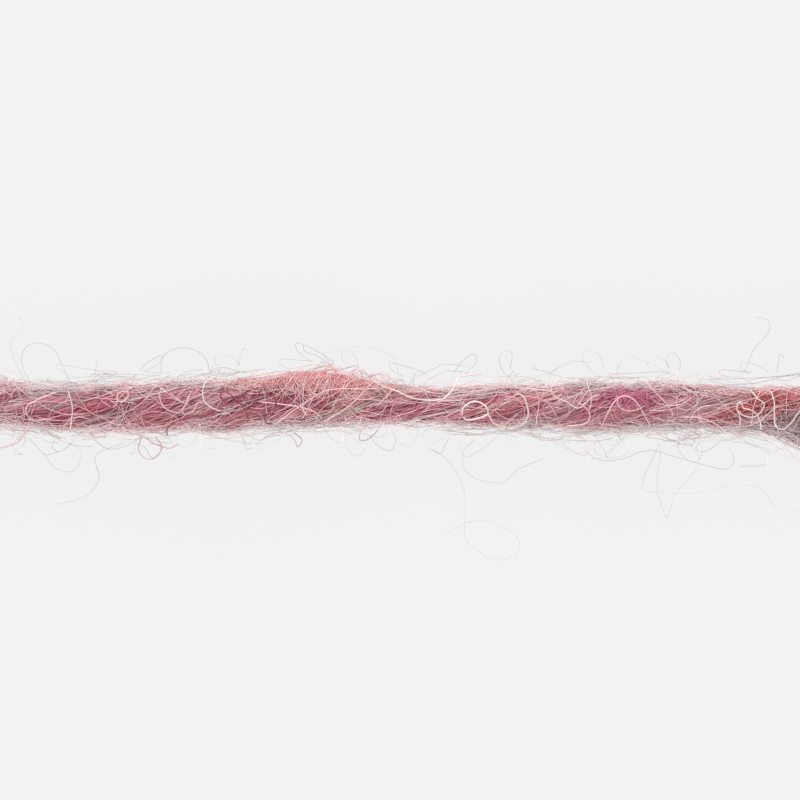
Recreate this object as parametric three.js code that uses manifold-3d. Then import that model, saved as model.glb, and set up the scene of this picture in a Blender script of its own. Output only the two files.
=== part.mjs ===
// Tweed yarn: a straight cut length of one soft woollen single, as it lies on a flat surface.
// Millimetres, +Z up. The strand runs along X, its flat underside is at z = 0, and the origin
// is on the surface below the middle of its length. Back is +Y, front is -Y.
// The strand is one solid with its twist, slub and neps raised. The fibres that stand out of it
// are rooted in thin wrapper fibres, which wind over the strand along the twist, a little off it.
import * as THREE from 'three';
import { mergeVertices } from 'three/addons/utils/BufferGeometryUtils.js';
import Module from 'manifold-3d';

const wasm = await Module();
wasm.setup();

// The strand
const STRAND_LENGTH = 32;
const TWIST_PITCH = 12.5;      // length of one whole turn of the twist, which runs as an S
const HEIGHT_SHARE = 0.92;     // height of a section over its width
const REST_SHARE = 0.9;        // height of the middle line over half the section's height
const STRAND_STEPS = 84;
const STRAND_SIDES = 32;

// The wrapper fibres
const GAP = 0.32;              // clear space between the strand and a wrapper
const WRAPPER_RADIUS = 0.07;
const WRAPPER_STEPS = 16;
const WRAPPER_COUNT = 8;
const WRAPPER_START = 198;     // degrees round the section, low on the front side
const WRAPPER_END = -18;       // low on the back side
const END_MARGIN = 0.5;        // between the first and last wrappers and the cut ends

// The stray fibres that are rooted in them
const STRAY_RADIUS = 0.042;
const STRAY_SIDES = 3;
const STRAYS_PER_WRAPPER = 9;
const SHORTEST_REACH = 0.22;   // of the short strays, beyond their wrapper
const REACH_SPREAD = 0.42;
const HAIR_SHARE = 0.35;       // of the short strays that end free, the others being loops
const MOST_LEAN = 0.8;         // of a short stray's crown along the strand
const LOOP_SWELL = 0.15;       // how far a loop bulges along the strand on each side
const LOOP_FEET = 0.095;       // distance between a loop's feet, as a share of the wrapper
const NEAREST_FLOOR = 0.05;    // height of the line of a fibre that lies on the surface

const FULL_TURN = 360;

// The spun strand: its middle line and its width, a row for each place along it.
const sections = [
  { at: -16.0, middle: 0.08, width: 1.24 },
  { at: -12.5, middle: 0.13, width: 1.24 },
  { at: -10.4, middle: -0.08, width: 1.34 },
  { at: -8.3, middle: -0.03, width: 1.43 },
  { at: -6.2, middle: 0.06, width: 1.56 },
  { at: -4.2, middle: 0.08, width: 1.46 },
  { at: -2.4, middle: 0.10, width: 1.32 },
  { at: -0.7, middle: 0.07, width: 1.24 },
  { at: 0.8, middle: 0.03, width: 1.10 },
  { at: 2.6, middle: 0.00, width: 1.26 },
  { at: 4.3, middle: 0.02, width: 1.32 },
  { at: 6.1, middle: 0.03, width: 1.52 },
  { at: 7.9, middle: 0.00, width: 1.44 },
  { at: 10.0, middle: -0.05, width: 1.36 },
  { at: 12.0, middle: -0.10, width: 1.38 },
  { at: 13.8, middle: -0.08, width: 1.40 },
  { at: 16.0, middle: 0.00, width: 1.28 },
];

// The bundles of roving that the twist turns round the strand: degrees round the section where
// x is 0, how far each stands up, and the half width of its ridge in degrees.
const bundles = [
  { turn: 15, rise: 0.080, spread: 24 },
  { turn: 72, rise: 0.120, spread: 20 },
  { turn: 121, rise: 0.065, spread: 16 },
  { turn: 176, rise: 0.110, spread: 26 },
  { turn: 238, rise: 0.080, spread: 18 },
  { turn: 287, rise: 0.125, spread: 22 },
  { turn: 336, rise: 0.070, spread: 17 },
];

// Thick places: the slub and the neps, by their place along and round the strand.
const lumps = [
  { name: 'coral slub', at: -2.5, turn: 38, rise: 0.30, length: 1.75, spread: 42 },
  { name: 'magenta nep', at: 6.9, turn: 72, rise: 0.07, length: 0.95, spread: 36 },
  { name: 'red nep', at: 11.5, turn: 74, rise: 0.08, length: 0.85, spread: 34 },
  { name: 'violet nep', at: 12.7, turn: 168, rise: 0.42, length: 0.95, spread: 40 },
];

// The longest strays: the points that each passes beyond its roots, its height there, and
// whether its far end comes back to the strand. x and y as seen from above.
const longStrays = [
  {
    name: 'far front ring', lift: 0.05, returns: false,
    points: [[1.16, -1.48], [1.72, -2.02], [2.06, -3.1], [2.13, -4.33], [3.1, -4.88],
      [3.74, -4.4], [2.9, -3.66], [1.5, -4.0]],
  },
  {
    name: 'front hook', lift: 0.22, returns: false,
    points: [[1.97, -1.55], [2.3, -2.25], [3.2, -2.42], [3.8, -2.0], [4.5, -1.66]],
  },
  {
    name: 'long front swag', lift: 0.34, returns: true,
    points: [[6.4, -1.72], [7.5, -1.5], [8.7, -1.62], [10.25, -2.0], [10.5, -1.65]],
  },
  {
    name: 'front spike', lift: 0.2, returns: true,
    points: [[8.12, -2.2], [8.38, -3.5], [8.75, -2.75], [9.4, -1.85]],
  },
  {
    name: 'far right trail', lift: 0.05, returns: true,
    points: [[7.65, -2.62], [8.9, -2.8], [10.8, -2.5], [12.0, -3.3], [13.4, -3.0], [14.1, -1.6]],
  },
  {
    name: 'left front swag', lift: 0.08, returns: true,
    points: [[-11.25, -1.45], [-10.9, -1.95], [-10.3, -2.08], [-10.05, -1.5]],
  },
  {
    name: 'left front tail', lift: 0.06, returns: false,
    points: [[-9.6, -1.6], [-9.5, -2.35], [-9.9, -2.85], [-10.9, -3.15]],
  },
  {
    name: 'small front ring', lift: 0.2, returns: true,
    points: [[-8.05, -1.3], [-7.8, -1.66], [-7.45, -1.3]],
  },
  {
    name: 'left back loop', lift: 0.9, returns: true,
    points: [[-11.55, 1.95], [-11.1, 1.92], [-10.55, 1.3]],
  },
  {
    name: 'far left back curl', lift: 1.1, returns: false,
    points: [[-12.1, 2.0], [-11.75, 2.35], [-11.9, 2.8], [-12.6, 3.0]],
  },
  {
    name: 'back arch', lift: 0.8, returns: true,
    points: [[-7.2, 1.35], [-6.7, 1.78], [-6.1, 1.35]],
  },
  {
    name: 'slub hair', lift: 1.2, returns: false,
    points: [[-2.6, 1.5], [-2.95, 1.68], [-3.0, 1.88]],
  },
  {
    name: 'slub arch', lift: 1.0, returns: true,
    points: [[-1.65, 1.75], [-1.1, 1.84], [-0.2, 1.5]],
  },
  {
    name: 'back eyelet', lift: 0.7, returns: true,
    points: [[3.15, 1.45], [3.38, 1.75], [3.55, 1.4]],
  },
  {
    name: 'back hoop', lift: 0.9, returns: true,
    points: [[5.7, 1.5], [5.95, 1.72], [6.35, 1.25]],
  },
  {
    name: 'tall back curl', lift: 1.3, returns: false,
    points: [[10.85, 1.5], [11.3, 2.1], [11.45, 2.6], [11.0, 2.72]],
  },
];

// A repeatable run of numbers between 0 and 1.
function numberRun(seed) {
  let state = seed;
  return () => {
    state = (state * 16807) % 2147483647;
    return state / 2147483647;
  };
}

// A column of the section table at a place along the strand, eased from row to row.
function alongStrand(at, column) {
  const last = sections.length - 1;
  const row = sections.findIndex((section, i) => i === last || sections[i + 1].at >= at);
  const from = sections[Math.min(row, last - 1)];
  const to = sections[Math.min(row + 1, last)];
  const share = THREE.MathUtils.smoothstep(at, from.at, to.at);
  return THREE.MathUtils.lerp(from[column], to[column], share);
}

// The shorter way round between two angles in degrees.
function turnBetween(a, b) {
  return THREE.MathUtils.euclideanModulo(a - b + FULL_TURN / 2, FULL_TURN) - FULL_TURN / 2;
}

// How far the surface stands beyond the plain oval section, in millimetres.
function relief(at, turn) {
  const untwisted = turn + FULL_TURN * at / TWIST_PITCH;
  let rise = 0;
  for (const bundle of bundles) {
    rise += bundle.rise * Math.exp(-((turnBetween(untwisted, bundle.turn) / bundle.spread) ** 2));
  }
  for (const lump of lumps) {
    const along = (at - lump.at) / lump.length;
    const round = turnBetween(turn, lump.turn) / lump.spread;
    rise += lump.rise * Math.exp(-(along ** 2) - round ** 2);
  }
  return rise;
}

// A point on the strand's surface, or that far off it, at an angle from +Y towards +Z.
function strandPoint(at, turn, off = 0) {
  const halfWidth = alongStrand(at, 'width') / 2;
  const halfHeight = halfWidth * HEIGHT_SHARE;
  const angle = THREE.MathUtils.degToRad(turn);
  const beyond = relief(at, turn) + off;
  const y = alongStrand(at, 'middle') + (halfWidth + beyond) * Math.cos(angle);
  const z = halfHeight * REST_SHARE + (halfHeight + beyond) * Math.sin(angle);
  return new THREE.Vector3(at, y, z);
}

// One closed mesh of rings along X, flat where the strand rests.
function strandGeometry() {
  const positions = [];
  const faces = [];
  for (let step = 0; step <= STRAND_STEPS; step += 1) {
    const at = STRAND_LENGTH * (step / STRAND_STEPS - 0.5);
    for (let side = 0; side < STRAND_SIDES; side += 1) {
      const point = strandPoint(at, FULL_TURN * side / STRAND_SIDES);
      positions.push(point.x, point.y, Math.max(point.z, 0));
    }
  }
  for (let step = 0; step < STRAND_STEPS; step += 1) {
    for (let side = 0; side < STRAND_SIDES; side += 1) {
      const a = step * STRAND_SIDES + side;
      const b = step * STRAND_SIDES + (side + 1) % STRAND_SIDES;
      faces.push(a, b, b + STRAND_SIDES, a, b + STRAND_SIDES, a + STRAND_SIDES);
    }
  }
  for (const [step, outward] of [[0, -1], [STRAND_STEPS, 1]]) {
    const at = STRAND_LENGTH * (step / STRAND_STEPS - 0.5);
    const halfHeight = alongStrand(at, 'width') / 2 * HEIGHT_SHARE;
    const centre = positions.length / 3;
    positions.push(at, alongStrand(at, 'middle'), halfHeight * REST_SHARE);
    for (let side = 0; side < STRAND_SIDES; side += 1) {
      const a = step * STRAND_SIDES + side;
      const b = step * STRAND_SIDES + (side + 1) % STRAND_SIDES;
      faces.push(centre, outward > 0 ? a : b, outward > 0 ? b : a);
    }
  }
  const geometry = new THREE.BufferGeometry();
  geometry.setAttribute('position', new THREE.Float32BufferAttribute(positions, 3));
  geometry.setIndex(faces);
  geometry.computeVertexNormals();
  return geometry;
}

// A thread of few sides along a smooth line through the points.
function threadGeometry(points, radius, sides, steps) {
  const outline = new THREE.Shape();
  for (let side = 0; side < sides; side += 1) {
    const angle = 2 * Math.PI * side / sides;
    const corner = [radius * Math.cos(angle), radius * Math.sin(angle)];
    if (side === 0) {
      outline.moveTo(...corner);
    } else {
      outline.lineTo(...corner);
    }
  }
  outline.closePath();
  return new THREE.ExtrudeGeometry(outline, {
    steps,
    bevelEnabled: false,
    extrudePath: new THREE.CatmullRomCurve3(points, false, 'centripetal'),
  });
}

function solidOf(geometry) {
  const bare = geometry.clone();
  bare.deleteAttribute('normal');
  bare.deleteAttribute('uv');
  const merged = mergeVertices(bare);
  return new wasm.Manifold(new wasm.Mesh({
    numProp: 3,
    vertProperties: new Float32Array(merged.attributes.position.array),
    triVerts: new Uint32Array(merged.index.array),
  }));
}

function geometryOf(solid) {
  const mesh = solid.getMesh();
  const geometry = new THREE.BufferGeometry();
  geometry.setAttribute('position', new THREE.Float32BufferAttribute(mesh.vertProperties, 3));
  geometry.setIndex(new THREE.Uint32BufferAttribute(mesh.triVerts, 1));
  geometry.computeVertexNormals();
  return geometry;
}

// Where each wrapper starts, so that all of them share out the strand's length.
const WRAPPER_SPAN = TWIST_PITCH * (WRAPPER_START - WRAPPER_END) / FULL_TURN;
const WRAPPER_STAGGER = (STRAND_LENGTH - WRAPPER_SPAN - 2 * END_MARGIN) / (WRAPPER_COUNT - 1);

// A point on a wrapper's line, from 0 at its front foot to 1 at its back one.
function wrapperPoint(wrapper, share, off = 0) {
  const from = END_MARGIN - STRAND_LENGTH / 2 + wrapper * WRAPPER_STAGGER;
  const turn = THREE.MathUtils.lerp(WRAPPER_START, WRAPPER_END, share);
  const at = from + WRAPPER_SPAN * share;
  const point = strandPoint(at, turn, GAP + WRAPPER_RADIUS + off);
  point.z = Math.max(point.z, NEAREST_FLOOR);
  return point;
}

function wrapperThread(wrapper) {
  const points = [];
  for (let step = 0; step <= WRAPPER_STEPS; step += 1) {
    points.push(wrapperPoint(wrapper, step / WRAPPER_STEPS));
  }
  return threadGeometry(points, WRAPPER_RADIUS, 4, WRAPPER_STEPS);
}

function strayThread(points, steps) {
  return threadGeometry(points, STRAY_RADIUS, STRAY_SIDES, steps);
}

// A short stray: a loop with both feet in the wrapper, or a hair with a free, curled end.
function shortStray(wrapper, index, next) {
  const share = (index + 0.2 + 0.6 * next()) / STRAYS_PER_WRAPPER;
  const reach = SHORTEST_REACH + REACH_SPREAD * next();
  const lean = (2 * next() - 1) * MOST_LEAN;
  const foot = wrapperPoint(wrapper, share);
  const crown = wrapperPoint(wrapper, share, reach);
  crown.x += lean;
  const rise = foot.clone().lerp(crown, 0.6);
  if (next() < HAIR_SHARE) {
    const tip = wrapperPoint(wrapper, share, reach * 0.8);
    tip.x += lean * 2;
    return strayThread([foot, rise, crown, tip], 8);
  }
  const otherFoot = wrapperPoint(wrapper, Math.min(share + LOOP_FEET, 1));
  const fall = otherFoot.clone().lerp(crown, 0.6);
  rise.x -= LOOP_SWELL;
  fall.x += LOOP_SWELL;
  return strayThread([foot, rise, crown, fall, otherFoot], 10);
}

// The place on any wrapper that is nearest to a point.
function nearestRoot(point) {
  let best = null;
  for (let wrapper = 0; wrapper < WRAPPER_COUNT; wrapper += 1) {
    for (let step = 1; step < WRAPPER_STEPS * 4; step += 1) {
      const root = wrapperPoint(wrapper, step / (WRAPPER_STEPS * 4));
      const far = root.distanceTo(point);
      if (best === null || far < best.far) {
        best = { wrapper, root, far };
      }
    }
  }
  return best;
}

function longStray(stray) {
  const line = stray.points.map(([x, y]) => new THREE.Vector3(x, y, stray.lift));
  const start = nearestRoot(line[0]);
  const points = [start.root, ...line];
  if (stray.returns) {
    points.push(nearestRoot(line[line.length - 1]).root);
  }
  return { wrapper: start.wrapper, geometry: strayThread(points, points.length * 4) };
}

const wool = new THREE.MeshStandardMaterial({ color: '#b9727f', roughness: 0.95, metalness: 0 });
const paleWool = new THREE.MeshStandardMaterial({ color: '#e2c6c8', roughness: 0.9, metalness: 0 });

const yarn = new THREE.Group();

const strand = new THREE.Mesh(strandGeometry(), wool);
strand.name = 'strand';
yarn.add(strand);

const placedLong = longStrays.map(longStray);
for (let wrapper = 0; wrapper < WRAPPER_COUNT; wrapper += 1) {
  const next = numberRun(1301 + 97 * wrapper);
  let solid = solidOf(wrapperThread(wrapper));
  for (let index = 0; index < STRAYS_PER_WRAPPER; index += 1) {
    solid = solid.add(solidOf(shortStray(wrapper, index, next)));
  }
  for (const placed of placedLong.filter((stray) => stray.wrapper === wrapper)) {
    solid = solid.add(solidOf(placed.geometry));
  }
  const halo = new THREE.Mesh(geometryOf(solid), paleWool);
  halo.name = `halo_${wrapper + 1}`;
  yarn.add(halo);
}

export default yarn;
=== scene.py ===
# Tweed yarn: a straight cut length of one soft, S-twisted woollen single, lying on a pale surface.
# The strand is made as the spinner makes it: locks of dyed fibre laid in along the twist over a
# felted core, a slub and neps of other colours spun in, and a halo of loose fibres round it all.
import math
import bpy
import numpy as np
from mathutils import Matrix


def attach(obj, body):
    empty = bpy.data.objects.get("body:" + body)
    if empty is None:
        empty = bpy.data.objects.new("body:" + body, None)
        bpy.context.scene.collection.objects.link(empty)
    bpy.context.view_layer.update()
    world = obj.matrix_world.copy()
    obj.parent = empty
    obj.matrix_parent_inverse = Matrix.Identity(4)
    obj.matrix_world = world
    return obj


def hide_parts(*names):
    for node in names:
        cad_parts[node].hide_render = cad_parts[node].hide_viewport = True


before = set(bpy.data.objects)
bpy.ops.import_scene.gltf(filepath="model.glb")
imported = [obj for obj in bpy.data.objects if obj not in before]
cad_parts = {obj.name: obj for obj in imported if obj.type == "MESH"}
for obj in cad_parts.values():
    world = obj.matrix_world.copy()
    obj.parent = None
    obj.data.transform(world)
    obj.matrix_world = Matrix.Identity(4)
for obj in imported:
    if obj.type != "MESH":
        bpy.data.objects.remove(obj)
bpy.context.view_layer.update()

MM = 0.001
FULL_TURN = 360.0

# The strand's own sizes in millimetres, the same as the solids'
STRAND_LENGTH = 32.0
HALF_LENGTH = STRAND_LENGTH / 2
TWIST_PITCH = 12.5
HEIGHT_SHARE = 0.92
REST_SHARE = 0.9
MEAN_RADIUS = 0.72
WRAPPER_COUNT = 8
WRAPPER_START = 198.0
WRAPPER_END = -18.0
END_MARGIN = 0.5
WRAPPER_SPAN = TWIST_PITCH * (WRAPPER_START - WRAPPER_END) / FULL_TURN
WRAPPER_STAGGER = (STRAND_LENGTH - WRAPPER_SPAN - 2 * END_MARGIN) / (WRAPPER_COUNT - 1)

# Lowest line of a fibre that lies on the surface, and the lowest point of any fibre
LYING = 0.02
LOWEST = 0.002

# The strand's sections: where they are, how far off the x axis their middle is, and their width
SECTIONS = np.array([
    (-16.0, 0.08, 1.24),
    (-12.5, 0.13, 1.24),
    (-10.4, -0.08, 1.34),
    (-8.3, -0.03, 1.43),
    (-6.2, 0.06, 1.56),
    (-4.2, 0.08, 1.46),
    (-2.4, 0.10, 1.32),
    (-0.7, 0.07, 1.24),
    (0.8, 0.03, 1.10),
    (2.6, 0.00, 1.26),
    (4.3, 0.02, 1.32),
    (6.1, 0.03, 1.52),
    (7.9, 0.00, 1.44),
    (10.0, -0.05, 1.36),
    (12.0, -0.10, 1.38),
    (13.8, -0.08, 1.40),
    (16.0, 0.00, 1.28),
], dtype=[("at", float), ("middle", float), ("width", float)])

# Bundles of roving: degrees round the section where x is 0, rise, and half width in degrees
BUNDLES = np.array([
    (15, 0.080, 24),
    (72, 0.120, 20),
    (121, 0.065, 16),
    (176, 0.110, 26),
    (238, 0.080, 18),
    (287, 0.125, 22),
    (336, 0.070, 17),
], dtype=[("turn", float), ("rise", float), ("spread", float)])

# Thick places: the coral slub, and the magenta, red and violet neps
LUMPS = np.array([
    (-2.5, 38, 0.30, 1.75, 42),
    (6.9, 72, 0.07, 0.95, 36),
    (11.5, 74, 0.08, 0.85, 34),
    (12.7, 168, 0.42, 0.95, 40),
], dtype=[("at", float), ("turn", float), ("rise", float), ("length", float), ("spread", float)])


def add_object(name, data):
    made = bpy.data.objects.new(name, data)
    bpy.context.scene.collection.objects.link(made)
    return made


# The form of the strand


def along_strand(at, column):
    """A column of the section table at places along the strand, eased from row to row."""
    rows = SECTIONS["at"]
    row = np.clip(np.searchsorted(rows, at) - 1, 0, len(rows) - 2)
    share = np.clip((at - rows[row]) / (rows[row + 1] - rows[row]), 0.0, 1.0)
    share = share * share * (3.0 - 2.0 * share)
    values = SECTIONS[column]
    return values[row] + (values[row + 1] - values[row]) * share


def turn_between(a, b):
    """The angle from b to a in degrees, the shorter way round."""
    return (a - b + FULL_TURN / 2) % FULL_TURN - FULL_TURN / 2


def relief(at, turn):
    """How far the surface stands beyond the plain oval section, in millimetres."""
    untwisted = turn + FULL_TURN * at / TWIST_PITCH
    rise = np.zeros(np.broadcast(at, turn).shape)
    for bundle in BUNDLES:
        away = turn_between(untwisted, bundle["turn"]) / bundle["spread"]
        rise += bundle["rise"] * np.exp(-away * away)
    for lump in LUMPS:
        along = (at - lump["at"]) / lump["length"]
        away = turn_between(turn, lump["turn"]) / lump["spread"]
        rise += lump["rise"] * np.exp(-along * along - away * away)
    return rise


def strand_point(at, turn, off=0.0):
    """Points on the strand's surface, or that far off it, at an angle from +Y towards +Z."""
    half_width = along_strand(at, "width") / 2
    half_height = half_width * HEIGHT_SHARE
    angle = np.radians(turn)
    beyond = relief(at, turn) + off
    y = along_strand(at, "middle") + (half_width + beyond) * np.cos(angle)
    z = half_height * REST_SHARE + (half_height + beyond) * np.sin(angle)
    return np.stack(np.broadcast_arrays(at, y, np.maximum(z, LYING)), axis=-1)


# Making fibres

WAVES_ADDED = 3


def wander(rng, fibres, points, waves, size):
    """A smooth uneven run along each fibre, with up to that many waves, of about that size."""
    along = np.linspace(0.0, 1.0, points)
    total = np.zeros((fibres, points))
    for _ in range(WAVES_ADDED):
        wave = rng.uniform(0.3, 1.0, (fibres, 1)) * waves
        phase = rng.uniform(0.0, 2 * math.pi, (fibres, 1))
        strength = rng.normal(0.0, 1.0, (fibres, 1))
        total += strength * np.sin(2 * math.pi * wave * along + phase)
    return total * size / math.sqrt(WAVES_ADDED / 2)


FIBRE_SIDES = 3
# How thick a fibre's tips are, as a share of the rest
TIP_SHARE = 0.5
# A direction that no fibre runs in for long, to turn the first section by
ODD_WAY = (0.31, 0.52, 0.79)


def unit(vectors):
    """The vectors made one long."""
    return vectors / (np.linalg.norm(vectors, axis=-1, keepdims=True) + 1e-12)


def thread_mesh(name, lines, thickness, sides):
    """Joins fibres, each a row of points in millimetres, into one mesh of thin closed threads."""
    fibres, points, _ = lines.shape
    radius = np.broadcast_to(np.asarray(thickness)[..., None] / 2, (fibres, points)).copy()
    radius[:, 0] *= TIP_SHARE
    radius[:, -1] *= TIP_SHARE
    tangent = unit(np.gradient(lines, axis=1))
    normal = unit(np.cross(tangent[:, 0], ODD_WAY))
    corners = np.empty((fibres, points, sides, 3))
    angles = 2 * math.pi * np.arange(sides) / sides
    for step in range(points):
        forward = tangent[:, step]
        normal = unit(normal - forward * np.sum(normal * forward, axis=1, keepdims=True))
        across = np.cross(forward, normal)
        for side, angle in enumerate(angles):
            reach = normal * math.cos(angle) + across * math.sin(angle)
            corners[:, step, side] = lines[:, step] + reach * radius[:, step, None]
    corners[..., 2] = np.maximum(corners[..., 2], LOWEST)

    first = (np.arange(fibres) * points * sides)[:, None, None]
    ring = (np.arange(points - 1) * sides)[None, :, None]
    side = np.arange(sides)[None, None, :]
    after = (side + 1) % sides
    walls = np.stack(
        [first + ring + side, first + ring + after,
         first + ring + after + sides, first + ring + side + sides], axis=-1
    ).reshape(-1, 4)
    tips = np.concatenate(
        [first[:, :, 0] + np.arange(sides)[::-1],
         first[:, :, 0] + (points - 1) * sides + np.arange(sides)]
    )
    loops = np.concatenate([walls.ravel(), tips.ravel()])
    starts = np.concatenate(
        [np.arange(len(walls)) * 4, len(walls) * 4 + np.arange(len(tips)) * sides]
    )
    mesh = bpy.data.meshes.new(name)
    mesh.vertices.add(fibres * points * sides)
    mesh.vertices.foreach_set("co", (corners * MM).ravel())
    mesh.loops.add(len(loops))
    mesh.loops.foreach_set("vertex_index", loops)
    mesh.polygons.add(len(starts))
    mesh.polygons.foreach_set("loop_start", starts)
    mesh.update(calc_edges=True)
    # Flat faces give back all the light that reaches so thin a thread, as smoothed ones don't
    mesh.shade_flat()
    return mesh


# A fibre's strip of the UV map: its length over its width, and its margins as shares of it
STRIP_SHAPE = 180
STRIP_END = 0.02
STRIP_EDGE = 0.12


def strip_map(mesh, fibres, points, sides):
    """A UV map with one strip for each fibre, so that a baked picture keeps every fibre apart."""
    columns = max(1, round(math.sqrt(fibres / STRIP_SHAPE)))
    rows = math.ceil(fibres / columns)
    column = np.arange(fibres) % columns
    row = np.arange(fibres) // columns
    left = column[:, None, None, None] + STRIP_END
    low = row[:, None, None, None] + STRIP_EDGE
    step = np.arange(points - 1)[None, :, None, None] + np.array([0, 0, 1, 1])
    side = np.arange(sides)[None, None, :, None] + np.array([0, 1, 1, 0])
    along = np.broadcast_to(step / (points - 1), (fibres, points - 1, sides, 4))
    across = np.broadcast_to(side / sides, (fibres, points - 1, sides, 4))
    u = (left + (1 - 2 * STRIP_END) * along) / columns
    v = (low + (1 - 2 * STRIP_EDGE) * across) / rows
    walls = np.stack([u, v], axis=-1).reshape(-1, 2)
    tips = np.empty((2, fibres, sides, 2))
    tips[0, ..., 0] = (column + STRIP_END)[:, None] / columns
    tips[1, ..., 0] = (column + 1 - STRIP_END)[:, None] / columns
    tips[..., 1] = row[None, :, None] + STRIP_EDGE + (1 - 2 * STRIP_EDGE) * np.arange(sides) / sides
    tips[..., 1] /= rows
    layer = mesh.uv_layers.new(name="OFBake")
    layer.data.foreach_set("uv", np.concatenate([walls, tips.reshape(-1, 2)]).ravel())


def fibre_piece(name, lines, thickness, dye, material):
    """A piece made of joined fibres, each with its own strip of the UV map and its own dye."""
    fibres, points, _ = lines.shape
    mesh = thread_mesh(name, lines, thickness, FIBRE_SIDES)
    strip_map(mesh, fibres, points, FIBRE_SIDES)
    take_up = mesh.attributes.new("dye", "FLOAT", "POINT")
    take_up.data.foreach_set("value", np.repeat(dye, points * FIBRE_SIDES).astype(np.float32))
    mesh.materials.append(material)
    piece = add_object(name, mesh)
    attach(piece, "root")
    return piece


# Materials


def linear(colour):
    """An sRGB hex colour as linear red, green, blue and alpha."""
    parts = [int(colour[i : i + 2], 16) / 255 for i in (1, 3, 5)]
    parts = [c / 12.92 if c <= 0.04045 else ((c + 0.055) / 1.055) ** 2.4 for c in parts]
    return (*parts, 1.0)


def add_node(tree, kind, settings=None, links=None):
    """A node with its settings, by input or property name, and what is linked into it."""
    made = tree.nodes.new(kind)
    for key, value in (settings or {}).items():
        if isinstance(key, str) and hasattr(made, key):
            setattr(made, key, value)
        else:
            made.inputs[key].default_value = value
    for key, source in (links or {}).items():
        tree.links.new(source, made.inputs[key])
    return made


def new_material(name):
    """A material with no nodes yet, and its node tree."""
    material = bpy.data.materials.new(name)
    material.use_nodes = True
    material.node_tree.nodes.clear()
    return material, material.node_tree


def add_ramp(tree, value, stops):
    """A colour ramp over a value, through its places and their sRGB hex colours."""
    ramp = add_node(tree, "ShaderNodeValToRGB", None, {"Fac": value})
    made = ramp.color_ramp.elements
    while len(made) < len(stops):
        made.new(0.5)
    for i, (position, colour) in enumerate(stops):
        made[i].position = position
        made[i].color = linear(colour)
    return ramp


def add_shader(tree, settings, links=None):
    """A Principled shader with its settings and what is linked into it, shown on the surface."""
    shader = add_node(tree, "ShaderNodeBsdfPrincipled", settings, links)
    add_node(tree, "ShaderNodeOutputMaterial", None, {"Surface": shader.outputs["BSDF"]})


# How much the dye varies along a fibre, as a share of the whole range of take-up
DYE_UNEVENNESS = 0.25


def dyed_wool(name, colours, sinking):
    """Wool dyed in the fleece: matt, a little sheen from the scales, uneven along each fibre.

    colours are the palest take-up of the dye and the deepest. sinking is the share of light
    that sinks in and comes out about a fibre's thickness further on, which makes an edge pale."""
    material, tree = new_material(name)
    place = add_node(tree, "ShaderNodeTexCoord")
    take_up = add_node(tree, "ShaderNodeAttribute", {"attribute_name": "dye"})
    # Uneven over about 0.5 mm of fibre
    uneven = add_node(
        tree, "ShaderNodeTexNoise", {"Scale": 2000.0, "Detail": 2.0}, {"Vector": place.outputs["Object"]}
    )
    spread = add_node(
        tree, "ShaderNodeMapRange",
        {"From Min": 0.3, "From Max": 0.7, "To Min": -DYE_UNEVENNESS / 2,
         "To Max": DYE_UNEVENNESS / 2},
        {"Value": uneven.outputs["Fac"]},
    )
    depth = add_node(
        tree, "ShaderNodeMath", {"operation": "ADD", "use_clamp": True},
        {0: take_up.outputs["Fac"], 1: spread.outputs["Result"]},
    )
    ramp = add_ramp(tree, depth.outputs["Value"], list(enumerate(colours)))
    rough = add_node(
        tree, "ShaderNodeMapRange", {"To Min": 0.55, "To Max": 0.8}, {"Value": uneven.outputs["Fac"]}
    )
    add_shader(
        tree,
        {"IOR": 1.55, "Sheen Weight": 0.25, "Sheen Roughness": 0.5, "Subsurface Weight": sinking,
         "Subsurface Radius": (1, 1, 1), "Subsurface Scale": 0.00003},
        {"Base Color": ramp.outputs["Color"], "Roughness": rough.outputs["Result"]},
    )
    return material


# Camera, surface and light

# What the photo shows across and where its middle is, in millimetres, from a long lens above
VIEW_WIDTH = 25.0
LENS = 100.0
SENSOR = 36.0
AIM = (0.0, 0.17, 0.7)
camera_data = bpy.data.cameras.new("camera")
camera_data.lens = LENS
camera_data.sensor_width = SENSOR
camera_data.clip_start = 0.001
camera_data.clip_end = 2.0
camera = add_object("camera", camera_data)
camera.location = (AIM[0] * MM, AIM[1] * MM, (AIM[2] + VIEW_WIDTH * LENS / SENSOR) * MM)
bpy.context.scene.camera = camera
bpy.context.scene.view_settings.view_transform = "Standard"

FLOOR_SIDE = 0.5
bpy.ops.object.select_all(action="DESELECT")
bpy.ops.mesh.primitive_plane_add(size=FLOOR_SIDE, location=(0, 0, -0.00001))
floor = bpy.context.object
floor.name = "floor"
# A dark sheet that glows evenly, on which shadows are as faint as in the photo
acrylic, acrylic_tree = new_material("glowing_white_acrylic")
add_shader(
    acrylic_tree,
    {"Base Color": linear("#404040"), "Roughness": 0.9, "Emission Color": linear("#ffffff"),
     "Emission Strength": 0.815},
)
floor.data.materials.append(acrylic)

world = bpy.data.worlds.new("studio")
bpy.context.scene.world = world
world.use_nodes = True
sky = world.node_tree.nodes["Background"].inputs
sky["Color"].default_value = (1, 1, 1, 1)
sky["Strength"].default_value = 0.64


def soft_box(name, place, power, side):
    """A square lamp that shines at the yarn's middle. Its place and its side are in metres."""
    lamp = bpy.data.lights.new(name, "AREA")
    lamp.energy = power
    lamp.size = side
    holder = add_object(name, lamp)
    holder.location = place
    holder.rotation_mode = "QUATERNION"
    holder.rotation_quaternion = (-holder.location).to_track_quat("-Z", "Y")


soft_box("back_light", (-0.03, 0.14, 0.030), 0.25, 0.12)
soft_box("front_light", (0.03, -0.14, 0.030), 0.23, 0.12)

# The felted core, whose wool shows between the locks

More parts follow.
